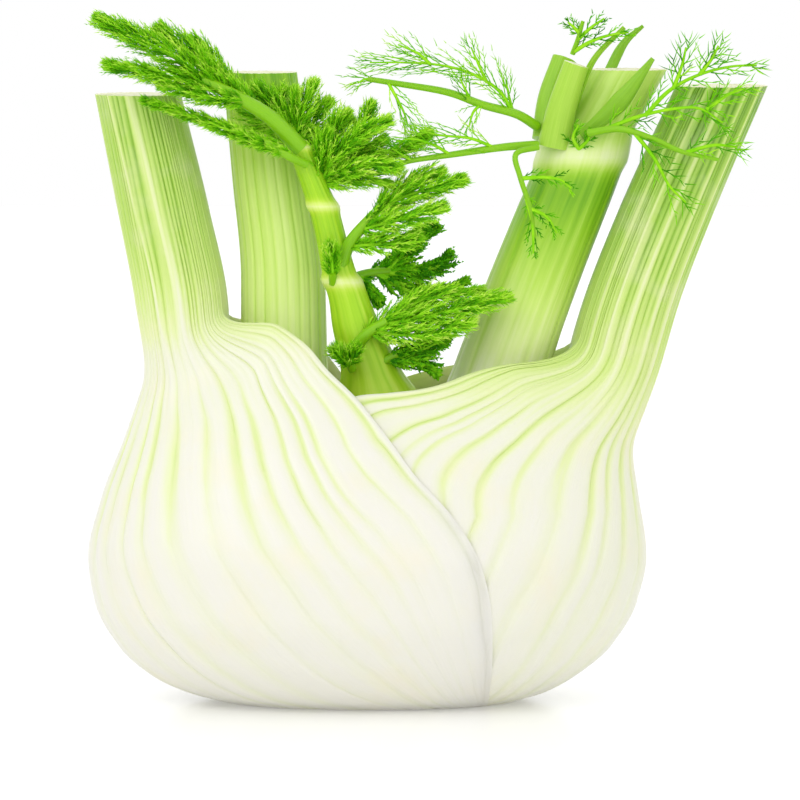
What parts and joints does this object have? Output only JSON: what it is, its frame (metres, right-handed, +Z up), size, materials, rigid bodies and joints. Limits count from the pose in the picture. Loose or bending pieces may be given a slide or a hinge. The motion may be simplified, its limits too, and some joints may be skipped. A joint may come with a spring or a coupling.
{
  "type": "fennel bulb",
  "caption": "Whole fennel bulb standing on its trimmed root end, with ribbed overlapping leaf bases, cut stalks, a young leafy shoot and feathery fronds.",
  "frame": {"origin": "centre of the flat cut root end that the bulb stands on", "axes": "+Z up, +X to the bulb's right seen from its broad front, front faces -Y"},
  "size_m": [0.1454, 0.0754, 0.1475],
  "materials": {
    "leaf_base": "smooth moist waxy plant skin, cream white with pale green ribs",
    "stalk": "smooth ribbed light green plant skin",
    "shoot_stem": "smooth bright green plant skin",
    "frond": "fine feathery saturated green leaf threads",
    "root_end": "cut plant tissue, cream with faint brown"
  },
  "bodies": {
    "root": {"outer_leaf_left": "leaf_base", "outer_leaf_right": "leaf_base", "inner_leaf_left": "stalk", "inner_leaf_right": "stalk", "young_shoot_stem": "shoot_stem", "shoot_frond_top_left": "frond", "shoot_frond_low_left": "frond", "shoot_frond_top": "frond", "shoot_frond_upper_right": "frond", "shoot_frond_right": "frond", "shoot_frond_rear": "frond", "shoot_frond_lower_right": "frond", "shoot_frond_low": "frond", "shoot_tuft_base": "frond", "shoot_tuft_joint": "frond", "spray_upper_left": "frond", "spray_lower_left": "frond", "spray_hanging": "frond", "spray_right": "frond", "spray_top": "frond", "root_end": "root_end"}
  },
  "joints": []
}
